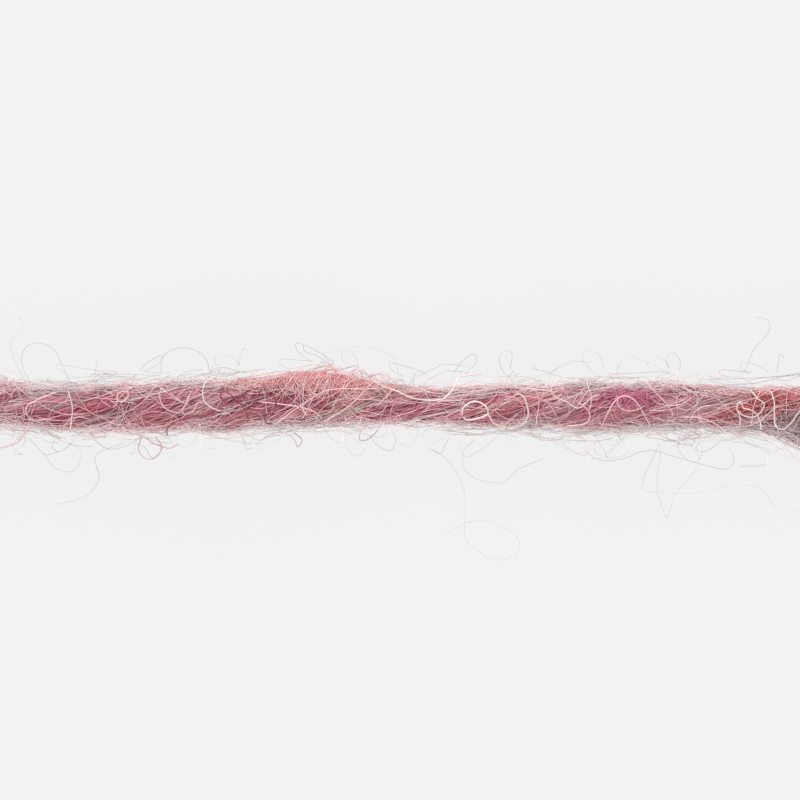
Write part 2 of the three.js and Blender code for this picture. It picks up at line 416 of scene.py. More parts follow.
CORE_STEPS = 200
CORE_SIDES = 48
CORE_DEPTH = 0.28
CORE_LOWEST = 0.004


def felted_core():
    """A closed tube deep in the strand, with its flat rest."""
    at = np.linspace(-HALF_LENGTH, HALF_LENGTH, CORE_STEPS + 1)[:, None]
    turn = (FULL_TURN * np.arange(CORE_SIDES) / CORE_SIDES)[None, :]
    rings = strand_point(at + 0 * turn, turn + 0 * at, -CORE_DEPTH)
    rings[..., 2] = np.maximum(rings[..., 2], CORE_LOWEST)
    flat = rings.reshape(-1, 3)
    step = np.arange(CORE_STEPS)[:, None] * CORE_SIDES
    side = np.arange(CORE_SIDES)[None, :]
    after = (side + 1) % CORE_SIDES
    walls = np.stack(
        [step + side, step + after, step + after + CORE_SIDES, step + side + CORE_SIDES], axis=-1
    ).reshape(-1, 4)
    ends = [list(range(CORE_SIDES))[::-1], [CORE_STEPS * CORE_SIDES + i for i in range(CORE_SIDES)]]
    mesh = bpy.data.meshes.new("yarn_core")
    mesh.from_pydata((flat * MM).tolist(), [], walls.tolist() + ends)
    mesh.update()
    mesh.shade_smooth()
    # u runs along the strand and v round it with the twist taken out, both in millimetres
    place = mesh.uv_layers.new(name="untwisted")
    loops = np.empty(len(mesh.loops), dtype=np.int32)
    mesh.loops.foreach_get("vertex_index", loops)
    first = np.repeat(side.ravel()[None, :], CORE_STEPS, axis=0).ravel()
    wall_side = np.stack([first, first + 1, first + 1, first], axis=-1).ravel()
    end_side = np.concatenate([ends[0], np.arange(CORE_SIDES)])
    x = flat[loops, 0]
    round_turn = np.concatenate([wall_side, end_side]) / CORE_SIDES + x / TWIST_PITCH
    uv = np.stack([x, round_turn * 2 * math.pi * MEAN_RADIUS], axis=-1)
    place.data.foreach_set("uv", uv.ravel())
    return add_object("yarn_core", mesh)


def felted_wool(name):
    """Packed wool deep in the strand: fine streaks along the twist, matt, no sheen."""
    material, tree = new_material(name)
    place = add_node(tree, "ShaderNodeUVMap", {"uv_map": "untwisted"})
    # Fibres 0.03 mm across that run about 3 mm before they dive
    stretch = add_node(
        tree, "ShaderNodeMapping", {"Scale": (0.35, 16.0, 1.0)}, {"Vector": place.outputs["UV"]}
    )
    streaks = add_node(
        tree, "ShaderNodeTexNoise", {"Scale": 1.0, "Detail": 3.0}, {"Vector": stretch.outputs["Vector"]}
    )
    ramp = add_ramp(
        tree, streaks.outputs["Fac"], [(0.3, "#a05f6d"), (0.5, "#bc7c89"), (0.7, "#d4a4ad")]
    )
    bump = add_node(
        tree, "ShaderNodeBump", {"Strength": 0.6, "Distance": 0.00003}, {"Height": streaks.outputs["Fac"]}
    )
    add_shader(
        tree, {"Roughness": 0.9, "IOR": 1.55},
        {"Base Color": ramp.outputs["Color"], "Normal": bump.outputs["Normal"]},
    )
    return material


core = felted_core()
core.data.materials.append(felted_wool("felted_core_wool"))
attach(core, "root")
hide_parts("strand")

# The dyed lots, each with its palest and its deepest colour

LOTS = {
    # The white lot goes only into the bloom and down at the flanks, where its paleness is partly painted
    # edge light
    "white": ["#ffeeee", "#fbdadd"],
    "ivory": ["#f1ddd7", "#dec7c0"],
    "shell": ["#efcacd", "#ddb1b7"],
    "rose": ["#e3a7b0", "#cf8a96"],
    "crimson": ["#cf7284", "#b7596e"],
    "wine": ["#ac5066", "#903e52"],
    "mauve": ["#d8a9b3", "#c08a98"],
    "grey": ["#dcc1be", "#c6a7a4"],
    "coral": ["#f5c1bf", "#e69ea2"],
    "magenta": ["#d9829f", "#ba5379"],
    "red": ["#dd807d", "#bf5157"],
    "violet": ["#cdb2b8", "#a2828a"],
    "maroon": ["#8a1f3e", "#6c142e"],
    "undyed": ["#e8e6e4", "#c0bbb8"],
}
# Lots that light doesn't sink into, and the share of it that sinks into the others
OPAQUE_LOTS = ["undyed", "coral", "maroon"]
SINKING = 0.5
WOOLS = {
    name: dyed_wool(name + "_dyed_wool", colours, 0.0 if name in OPAQUE_LOTS else SINKING)
    for name, colours in LOTS.items()
}

# The share of each lot in the blend that the carder mixes
BLEND = {"ivory": 0.03, "shell": 0.14, "rose": 0.37, "crimson": 0.20, "wine": 0.03, "mauve": 0.16,
         "grey": 0.07}

# Where one lot shows on the top as a streak along the twist: its lot, the x and y of its middle
# as seen from above, and its half length and half width, all in millimetres
STREAKS = [
    ("crimson", -8.7, 0.27, 0.6, 0.10), ("rose", -5.4, 0.30, 0.6, 0.14),
    ("shell", -5.2, -0.08, 0.4, 0.08), ("crimson", 5.5, 0.16, 0.5, 0.10),
    ("crimson", -8.7, 0.06, 0.6, 0.14), ("crimson", -7.3, 0.16, 0.5, 0.12),
    ("crimson", -8.3, -0.10, 0.5, 0.08), ("shell", -5.6, 0.52, 0.6, 0.16),
    ("mauve", -5.5, -0.72, 0.6, 0.12), ("shell", -3.9, -0.56, 0.5, 0.12),
    ("crimson", -2.2, 0.28, 0.5, 0.12), ("shell", -0.8, 0.52, 0.5, 0.14),
    ("shell", 2.3, 0.46, 0.6, 0.12), ("shell", 5.4, 0.52, 0.6, 0.16),
    ("shell", 6.2, 0.58, 0.5, 0.12), ("shell", 8.6, -0.56, 0.6, 0.12),
    ("wine", 11.6, -0.02, 0.5, 0.18), ("wine", -8.4, -0.02, 0.5, 0.10),
    ("crimson", 8.6, 0.00, 0.5, 0.10), ("wine", 11.9, -0.24, 0.4, 0.10),
    ("shell", -12.0, 0.60, 1.4, 0.20), ("mauve", -12.3, 0.42, 0.5, 0.13),
    ("crimson", -12.5, 0.26, 0.3, 0.06), ("crimson", -11.9, -0.30, 0.6, 0.06),
    ("rose", -11.3, 0.05, 0.9, 0.26), ("grey", -11.0, -0.12, 0.7, 0.10),
    ("crimson", -10.6, -0.36, 0.7, 0.11), ("crimson", -10.4, -0.66, 0.4, 0.12),
    ("rose", -9.8, 0.48, 0.8, 0.16), ("coral", -9.3, 0.60, 0.5, 0.12),
    ("crimson", -9.2, 0.10, 0.9, 0.15), ("grey", -9.0, -0.30, 0.7, 0.07),
    ("mauve", -8.9, -0.46, 0.7, 0.15), ("crimson", -8.2, 0.48, 0.7, 0.07),
    ("crimson", -8.0, -0.12, 0.5, 0.10), ("rose", -8.0, -0.58, 0.7, 0.15),
    ("mauve", -7.8, 0.20, 0.6, 0.16), ("crimson", -7.2, 0.08, 0.6, 0.12),
    ("rose", -6.8, 0.52, 0.8, 0.22), ("crimson", -6.4, -0.36, 0.7, 0.05),
    ("rose", -6.3, -0.60, 0.9, 0.20), ("grey", -5.9, 0.06, 0.6, 0.10),
    ("mauve", -5.8, 0.40, 0.7, 0.15), ("mauve", -5.0, 0.62, 0.8, 0.16),
    ("rose", -5.0, -0.45, 0.8, 0.24), ("crimson", -4.8, 0.15, 0.5, 0.09),
    ("crimson", -4.3, 0.00, 0.5, 0.12), ("wine", -3.5, 0.22, 0.5, 0.08),
    ("crimson", -3.6, 0.08, 0.8, 0.14), ("rose", -3.7, -0.40, 0.7, 0.16),
    ("crimson", -3.0, -0.10, 0.6, 0.10), ("crimson", -2.4, 0.12, 0.5, 0.14),
    ("grey", -1.9, -0.34, 0.8, 0.18), ("coral", -1.3, 0.24, 0.6, 0.18),
    ("wine", -0.85, -0.10, 0.3, 0.08), ("crimson", -0.6, -0.40, 0.4, 0.06),
    ("crimson", 0.2, -0.30, 0.5, 0.12), ("mauve", -0.1, 0.22, 0.5, 0.08),
    ("rose", 0.8, 0.48, 1.0, 0.15), ("crimson", 0.9, -0.14, 0.5, 0.08),
    ("crimson", 1.3, 0.10, 0.3, 0.06), ("rose", 1.6, -0.25, 0.8, 0.22),
    ("wine", 2.3, 0.00, 0.25, 0.06), ("crimson", 3.0, 0.20, 0.5, 0.12),
    ("crimson", 3.4, -0.16, 0.6, 0.11), ("crimson", 4.1, 0.05, 0.4, 0.08),
    ("coral", 4.6, 0.48, 0.6, 0.14), ("coral", 5.5, 0.68, 0.5, 0.10),
    ("mauve", 4.8, -0.16, 0.7, 0.22), ("crimson", 5.5, -0.36, 0.6, 0.11),
    ("crimson", 6.1, 0.00, 0.4, 0.10), ("mauve", 6.3, 0.52, 0.6, 0.15),
    ("rose", 6.1, -0.52, 0.6, 0.12), ("magenta", 6.5, 0.26, 0.4, 0.10),
    ("magenta", 7.2, 0.40, 0.45, 0.17), ("mauve", 7.3, 0.00, 0.5, 0.14),
    ("crimson", 7.9, -0.36, 0.5, 0.10), ("rose", 8.3, 0.60, 0.8, 0.16),
    ("rose", 8.5, 0.15, 0.8, 0.24), ("crimson", 8.3, 0.00, 0.5, 0.05),
    ("crimson", 9.2, 0.42, 0.5, 0.05), ("mauve", 9.4, 0.12, 0.8, 0.18),
    ("shell", 8.7, -0.64, 1.0, 0.13), ("rose", 9.8, 0.50, 0.6, 0.13),
    ("crimson", 10.0, -0.35, 0.5, 0.11), ("crimson", 10.4, -0.70, 0.3, 0.06),
    ("shell", 10.6, 0.60, 0.8, 0.13), ("red", 11.0, 0.00, 0.5, 0.16),
    ("shell", 10.8, -0.58, 0.8, 0.13), ("red", 11.6, 0.30, 0.5, 0.16),
    ("coral", 12.2, 0.52, 0.4, 0.12), ("violet", 12.2, -0.30, 0.5, 0.22),
    ("violet", 12.5, -0.80, 0.6, 0.30),
]


# How far out on the strand the top is still looked for, as a share of its half width
TOP_LIMIT = 0.985
# The relief depends on the angle that is looked for, so it is found in rounds
TOP_ROUNDS = 5


def top_turn(x, y, lift=0.0):
    """The angle round the section at which the strand's top is seen at x and y from above."""
    half_width = along_strand(x, "width") / 2
    turn = np.full(np.shape(x), 90.0)
    for _ in range(TOP_ROUNDS):
        across = (y - along_strand(x, "middle")) / (half_width + relief(x, turn) + lift)
        turn = np.degrees(np.arccos(np.clip(across, -TOP_LIMIT, TOP_LIMIT)))
    return turn


def over_strand(x, y, lift):
    """The points that far above the strand at x and y, or beside it at the height of its middle."""
    point = strand_point(x, top_turn(x, y, lift), lift)
    point[..., 1] = y
    return point


FIBRE_POINTS = 16
gathered = {}


def gather(name, lines, thickness, dye, form="fibres"):
    """Keeps fibres of one lot and one form until their piece is made."""
    gathered.setdefault((name, form), []).append((lines, thickness, dye))


# Spun fibres: locks of near-parallel fibres along the twist, which rise and dive again

LOCKS = 480
FIBRES_PER_LOCK = 8
LOCK_LENGTH = (3.5, 8.0)
SPUN_THICKNESS = (0.027, 0.042)
STREAK_THICKNESS = (0.026, 0.040)
# A streak's fibres: the fewest, and how many more for each square millimetre of its half sizes
STREAK_LEAST = 7
STREAK_FILL = 150
# How far past its ends, and by what factor past its sides, a streak takes fibres in
STREAK_OVERLAP = 0.3
STREAK_WIDENING = 1.1
# How far the ends of a spun fibre and of a streak's fibre dive below its crest
SPUN_DIVE = (0.04, 0.12)
STREAK_DIVE = (0.04, 0.10)
# How far a fibre's crimp moves it off its even line
SPUN_CRIMP = 0.018
STREAK_CRIMP = 0.016
# How far crimp moves it round the strand, in degrees for each millimetre
CRIMP_TURN = 180
# The fibres lie the closer together the deeper they are in this much of the strand
SHEATH_DEPTH = 0.22
STREAK_SHEATH_DEPTH = 0.7 * SHEATH_DEPTH
# How much deeper the packed fibres lie at the flanks, where only loose ones reach the outline
BACK_LOOSE = 0.12
FRONT_LOOSE = 0.06
# Where it is looser still: middle along the strand, flank (1 back, -1 front), half length, depth
LOOSE_PLACES = [
    (-10.4, 1, 1.0, 0.05),
    (-5.8, 1, 1.5, 0.16),
    (-0.6, 1, 0.9, 0.18),
    (1.7, 1, 1.2, 0.10),
    (6.3, 1, 1.6, 0.24),
    (10.5, 1, 1.4, 0.10),
    (-8.6, -1, 0.8, 0.06),
    (-5.5, -1, 0.8, -0.14),
    (-3.9, -1, 0.8, 0.10),
    (3.9, -1, 0.8, 0.06),
    (8.7, -1, 1.0, 0.20),
    (11.8, -1, 0.8, 0.12),
]
# Share of the fibres in a streak that come from another lot, as carding never sorts them all
STRANGER_SHARE = 0.28


def fibre_lots(rng, at, untwisted):
    """A lot for each fibre: mostly that of a streak it runs in, or else one from the blend."""
    names = list(BLEND)
    # Each lot is commoner in some broad bands, which run with the twist
    wave = np.stack(
        [0.5 + 0.25 * np.sin(np.radians(2 * untwisted) + 1.7 * i + 0.31 * at)
         + 0.25 * np.sin(np.radians(3 * untwisted) - 2.3 * i - 0.23 * at) for i in range(len(names))],
        axis=-1,
    )
    chances = np.array([BLEND[name] for name in names]) * wave**1.3
    chances /= chances.sum(axis=-1, keepdims=True)
    pick = (rng.random(len(at))[:, None] > np.cumsum(chances, axis=-1)).sum(axis=-1)
    lots = np.array(names)[np.minimum(pick, len(names) - 1)].astype(object)
    stays = rng.random(len(at)) > STRANGER_SHARE
    for name, x, y, half_length, half_width in STREAKS:
        middle = top_turn(x, y) + FULL_TURN * x / TWIST_PITCH
        away = turn_between(untwisted, middle) / np.degrees(STREAK_WIDENING * half_width / MEAN_RADIUS)
        inside = ((at - x) / (half_length + STREAK_OVERLAP)) ** 2 + away**2 < 1
        lots[inside & stays] = name
    return lots


def looseness(at, turn):
    """How much deeper than elsewhere the packed fibres lie at a place."""
    flank = np.cos(np.radians(turn))
    depth = np.where(flank > 0, BACK_LOOSE, FRONT_LOOSE) * flank**2
    for x, side, half_length, more in LOOSE_PLACES:
        depth = depth + more * np.exp(-(((at - x) / half_length) ** 2)) * np.clip(side * flank, 0, 1)
    return depth


def fibre_run(rng, count, at, turn, length, twist, crest, dive, crimp):
    """Fibres about places on the strand, along the twist times a factor, ends dived below."""
    along = np.linspace(-0.5, 0.5, FIBRE_POINTS)[None, :]
    place = at[:, None] + along * length[:, None]
    angle = turn[:, None] - FULL_TURN / TWIST_PITCH * (place - at[:, None]) * twist[:, None]
    angle = angle + wander(rng, count, FIBRE_POINTS, 2.5, CRIMP_TURN * crimp)
    off = crest[:, None] - dive[:, None] * (1 - np.sin(math.pi * (along + 0.5)) ** 0.5)
    off = off + wander(rng, count, FIBRE_POINTS, 3.5, crimp * 0.6)
    off = off - looseness(place, angle)
    place = place + wander(rng, count, FIBRE_POINTS, 4.0, crimp)
    return strand_point(place, angle, off)


def spun_fibres(rng):
    """Locks whose fibres share their place, twist and dye, but for a little."""
    count = LOCKS * FIBRES_PER_LOCK
    lock = np.repeat(np.arange(LOCKS), FIBRES_PER_LOCK)
    length = rng.uniform(*LOCK_LENGTH, LOCKS)[lock] * rng.uniform(0.6, 1.0, count)
    at = rng.uniform(-HALF_LENGTH, HALF_LENGTH, LOCKS)[lock] + rng.uniform(-0.8, 0.8, count)
    most = HALF_LENGTH + 0.12
    at = np.clip(at, -most + length / 2, most - length / 2)
    untwisted = rng.uniform(0, FULL_TURN, LOCKS)[lock] + rng.normal(0, 9.0, count)
    lots = fibre_lots(rng, at, untwisted)
    turn = untwisted - FULL_TURN * at / TWIST_PITCH
    twist = rng.normal(1.05, 0.20, LOCKS)[lock] + rng.normal(0, 0.10, count)
    crest = -0.03 - SHEATH_DEPTH * rng.random(count) ** 0.6
    dive = rng.uniform(*SPUN_DIVE, count)
    lines = fibre_run(rng, count, at, turn, length, twist, crest, dive, SPUN_CRIMP)
    thickness = rng.uniform(*SPUN_THICKNESS, count)
    dye = np.clip(rng.normal(0.5, 0.08, LOCKS)[lock] + rng.normal(0, 0.11, count), 0, 1)
    for name in LOTS:
        mine = lots == name
        if mine.any():
            gather(name, lines[mine], thickness[mine], dye[mine])


def streak_fibres(rng):
    """Fibres of one lot over each streak, with a few rose ones among them."""
    for name, x, y, half_length, half_width in STREAKS:
        count = STREAK_LEAST + round(STREAK_FILL * half_length * half_width)
        at = x + rng.normal(0, 0.35 * half_length, count)
        aside = rng.normal(0, np.degrees(0.6 * half_width / MEAN_RADIUS), count)
        turn = top_turn(x, y) + aside - FULL_TURN * (at - x) / TWIST_PITCH
        length = 2 * half_length * rng.uniform(0.8, 1.7, count)
        twist = rng.normal(1.1, 0.18, count)
        crest = -0.02 - STREAK_SHEATH_DEPTH * rng.random(count)
        dive = rng.uniform(*STREAK_DIVE, count)
        lines = fibre_run(rng, count, at, turn, length, twist, crest, dive, STREAK_CRIMP)
        thickness = rng.uniform(*STREAK_THICKNESS, count)
        dye = np.clip(rng.normal(0.5, 0.16, count), 0, 1)
        stranger = rng.random(count) < STRANGER_SHARE / 2
        gather(name, lines[~stranger], thickness[~stranger], dye[~stranger])
        gather("rose", lines[stranger], thickness[stranger], dye[stranger])


spun_fibres(np.random.default_rng(11))
streak_fibres(np.random.default_rng(12))


# Loose fibres that wander over the surface, in the veil round it, and in the slub and the neps

# The way the twist runs, in degrees from the strand's own line
ALONG_TWIST = -20.0
SHORT_POINTS = 8
LONG_POINTS = 30
# How much a fibre's bend changes from point to point, as a share of the bend
UNREST = 0.4
# The lower this is, the more steeply a fibre comes up from its root
RISE_POWER = 0.6
# How much of the packed fibres' looseness the loose ones take on
LOOSE_SHARE = 0.6


def loose_fibres(rng, at, turn, length, curl, spread, base, lift, heading=ALONG_TWIST, roam=90.0,
                 points=FIBRE_POINTS):
    """Fibres that walk over the strand in curls, rooted at base and rising by up to lift.

    curl is their bend in radians a millimetre. They set out at about heading, give or take
    spread, and roam is about how far round the strand they get, all three in degrees."""
    count = len(at)
    step = (length / (points - 1))[:, None]
    unrest = curl * UNREST * math.sqrt(FIBRE_POINTS / points)
    curve = rng.normal(0, curl, (count, 1)) + np.cumsum(rng.normal(0, unrest, (count, points)), axis=1)
    way = np.radians(heading + rng.normal(0, spread, (count, 1)) + 180 * (rng.random((count, 1)) < 0.5))
    way = way + np.cumsum(curve * step, axis=1)
    place = at[:, None] + np.cumsum(np.cos(way) * step, axis=1)
    arc = np.cumsum(np.sin(way) * step, axis=1)
    arc = np.degrees(arc - arc.mean(axis=1, keepdims=True)) / MEAN_RADIUS
    angle = turn[:, None] + roam * np.tanh(arc / roam)
    rise = np.sin(math.pi * np.linspace(0.02, 0.98, points))[None, :] ** RISE_POWER
    off = base + lift[:, None] * rise + wander(rng, count, points, 3.0, 0.015)
    off = off - LOOSE_SHARE * looseness(place, angle)
    place = np.clip(place, -HALF_LENGTH - 0.1, HALF_LENGTH + 0.1)
    return strand_point(place, angle, off)


def add_loose(rng, name, at, turn, length, thickness, form="fibres", **walk):
    """Gathers loose fibres of one lot, between two thicknesses. walk is the rest of their form."""
    lines = loose_fibres(rng, at, turn, length, **walk)
    gather(name, lines, rng.uniform(*thickness, len(at)), rng.random(len(at)), form)


def anywhere(rng, count):
    return rng.uniform(-HALF_LENGTH, HALF_LENGTH, count)


# Fibres that lie over the spun ones: their lot, how many, and from and to which thickness
rng = np.random.default_rng(23)
for name, count, low, high in [("ivory", 22, 0.024, 0.034), ("shell", 110, 0.020, 0.030),
                               ("grey", 30, 0.022, 0.034), ("rose", 140, 0.022, 0.032)]:
    add_loose(
        rng, name, anywhere(rng, count), rng.uniform(0, FULL_TURN, count),
        rng.uniform(1.4, 4.5, count), (low, high),
        curl=0.45, spread=22, base=-0.07, lift=rng.uniform(0.05, 0.09, count),
    )

# Curlier ones, some of which stand up further
for name, count in [("ivory", 6), ("shell", 40), ("rose", 36)]:
    add_loose(
        rng, name, anywhere(rng, count), rng.uniform(0, FULL_TURN, count),
        rng.uniform(1.0, 3.6, count), (0.020, 0.028),
        curl=1.0, spread=50, base=-0.05, lift=0.04 + rng.gamma(1.5, 0.03, count),
    )

# The bloom: pale fibre ends that the spinning leaves along both flanks, massed where the flanks are seen
# from above, so their paleness there is partly painted edge light for light passing through the thin edges
BACK_FLANK = 18.0
FRONT_FLANK = 168.0


def flank_turns(rng, count, front_share, spread):
    """Angles about the two flanks, that share of them about the front one."""
    flank = np.where(rng.random(count) < front_share, FRONT_FLANK, BACK_FLANK)
    return flank + rng.normal(0, spread, count)


for name, count in [("white", 280), ("shell", 280)]:
    add_loose(
        rng, name, anywhere(rng, count), flank_turns(rng, count, 0.42, 17),
        rng.uniform(1.0, 3.0, count), (0.020, 0.030),
        curl=0.5, spread=14, base=-0.10, lift=rng.uniform(0.02, 0.12, count), roam=26,
    )

# Down: the finest fibres, half as thick as the bloom's, which blur the strand's edge; pale and massed at the
# flanks, they also paint light onto the edge
for name, count in [("white", 1100), ("shell", 300)]:
    add_loose(
        rng, name, anywhere(rng, count), flank_turns(rng, count, 0.42, 20),
        rng.uniform(0.8, 2.0, count), (0.011, 0.016), "down",
        curl=0.7, spread=25, base=-0.08, lift=rng.gamma(2.0, 0.06, count), roam=26,
        points=SHORT_POINTS,
    )

# The veil: long curls that stand off the flanks
for name, count in [("shell", 40), ("undyed", 80)]:
    add_loose(
        rng, name, anywhere(rng, count), flank_turns(rng, count, 0.55, 9),
        rng.uniform(1.6, 4.5, count), (0.014, 0.020), "veil",
        curl=1.2, spread=24, base=-0.05, lift=0.06 + rng.gamma(1.7, 0.08, count), roam=16,
        points=LONG_POINTS,
    )

# Denser stretches of the veil: from and to along the strand, flank, fibres, and how far they rise
FRINGES = [
    (-13.5, -8.5, FRONT_FLANK, 40, 0.17),
    (-6.4, -4.2, FRONT_FLANK, 18, 0.12),
    (-4.2, -1.8, FRONT_FLANK, 18, 0.16),
    (2.0, 4.4, FRONT_FLANK, 18, 0.14),
    (4.6, 8.0, FRONT_FLANK, 36, 0.14),
    (7.6, 12.4, FRONT_FLANK, 50, 0.16),
    (-12.8, -9.4, BACK_FLANK, 24, 0.10),
    (-8.0, -5.0, BACK_FLANK, 18, 0.08),
    (5.2, 7.6, BACK_FLANK, 14, 0.08),
]
for start, end, flank, total, rise in FRINGES:
    for name, share in [("shell", 0.25), ("undyed", 0.75)]:
        count = round(total * share)
        add_loose(
            rng, name, rng.uniform(start, end, count), flank + rng.normal(0, 9, count),
            rng.uniform(1.6, 5.0, count), (0.014, 0.020), "veil",
            curl=1.4, spread=25, base=-0.05, lift=0.06 + rng.gamma(1.6, rise, count), roam=18,
            points=LONG_POINTS,
        )


def felted_lump(rng, name, count, at, turn, reach, spread, thickness, lift, longest=1.3,
                points=SHORT_POINTS, form="felt"):
    """Short tangled fibres of one lot over a thick place.

    They spread by reach millimetres along the strand and by spread degrees round it."""
    add_loose(
        rng, name, rng.normal(at, reach, count), rng.normal(turn, spread, count),
        rng.uniform(0.4, longest, count), thickness, form,
        curl=0.5, spread=60, base=-0.04, lift=rng.uniform(0.02, lift, count), points=points,
    )


# The slub: its felt, thinner felt nearer the top, hairs that stand off it, and curls over it
felted_lump(rng, "coral", 1500, at=-2.75, turn=31, reach=0.90, spread=9, thickness=(0.018, 0.030),
            lift=0.12, longest=1.0)
felted_lump(rng, "coral", 90, at=-2.6, turn=48, reach=0.90, spread=9, thickness=(0.016, 0.024),
            lift=0.08)
felted_lump(rng, "coral", 60, at=-1.5, turn=28, reach=0.7, spread=14, thickness=(0.014, 0.020),
            lift=0.50)
SLUB_CURLS = 40
add_loose(
    rng, "shell", rng.normal(-2.4, 0.9, SLUB_CURLS), rng.normal(50, 18, SLUB_CURLS),
    rng.uniform(1.2, 3.0, SLUB_CURLS), (0.020, 0.028),
    curl=1.3, spread=60, base=-0.04, lift=rng.uniform(0.08, 0.16, SLUB_CURLS),
)

# The neps
felted_lump(rng, "magenta", 110, at=7.05, turn=68, reach=0.28, spread=9, thickness=(0.022, 0.032),
            lift=0.06, longest=0.9, points=FIBRE_POINTS, form="fibres")
felted_lump(rng, "red", 80, at=11.75, turn=66, reach=0.36, spread=10, thickness=(0.022, 0.032),
            lift=0.06, longest=1.1, points=FIBRE_POINTS, form="fibres")
felted_lump(rng, "violet", 520, at=12.8, turn=162, reach=0.55, spread=20, thickness=(0.022, 0.034),
            lift=0.09)

# Fibre ends that fill the section where the yarn is cut, and each lot's share of them
CUT_FIBRES = 130
CUT_BLEND = {"rose": 0.15, "shell": 0.35, "crimson": 0.2, "mauve": 0.3}
for end in [-1, 1]:
    for name, share in CUT_BLEND.items():
        count = round(CUT_FIBRES * share)
        at = end * (HALF_LENGTH - rng.uniform(0.10, 0.34, count))
        add_loose(
            rng, name, at, rng.uniform(0, FULL_TURN, count), rng.uniform(0.3, 0.7, count),
            (0.030, 0.044),
            curl=0.3, spread=14, base=-rng.uniform(0.18, 0.62, count)[:, None],
            lift=np.zeros(count), heading=0,
        )

for (name, form), batches in gathered.items():
    lines, thickness, dye = (np.concatenate(part) for part in zip(*batches))
    fibre_piece(f"{name}_wool_{form}", lines, thickness, dye, WOOLS[name])


# Single fibres that stand out by their shape, as seen from above


def smooth_line(points, count):
    """That many points on a smooth line through the given ones, a centripetal Catmull-Rom line."""
    points = np.asarray(points, dtype=float)
    row = np.vstack([2 * points[0] - points[1], points, 2 * points[-1] - points[-2]])
    gaps = np.linalg.norm(np.diff(row, axis=0), axis=1) ** 0.5
    knots = np.concatenate([[0.0], np.cumsum(gaps)])
    place = np.linspace(knots[1], knots[-2], count)
    i = np.clip(np.searchsorted(knots, place, side="right") - 1, 1, len(row) - 3)

    def between(a, b, start, end):
        share = ((place - knots[start]) / (knots[end] - knots[start]))[:, None]
        return a + (b - a) * share

    a1 = between(row[i - 1], row[i], i - 1, i)
    a2 = between(row[i], row[i + 1], i, i + 1)
    a3 = between(row[i + 1], row[i + 2], i + 1, i + 2)
    b1 = between(a1, a2, i - 1, i + 1)
    b2 = between(a2, a3, i, i + 2)
    return between(b1, b2, i, i + 1)


LOOP_POINTS = 40
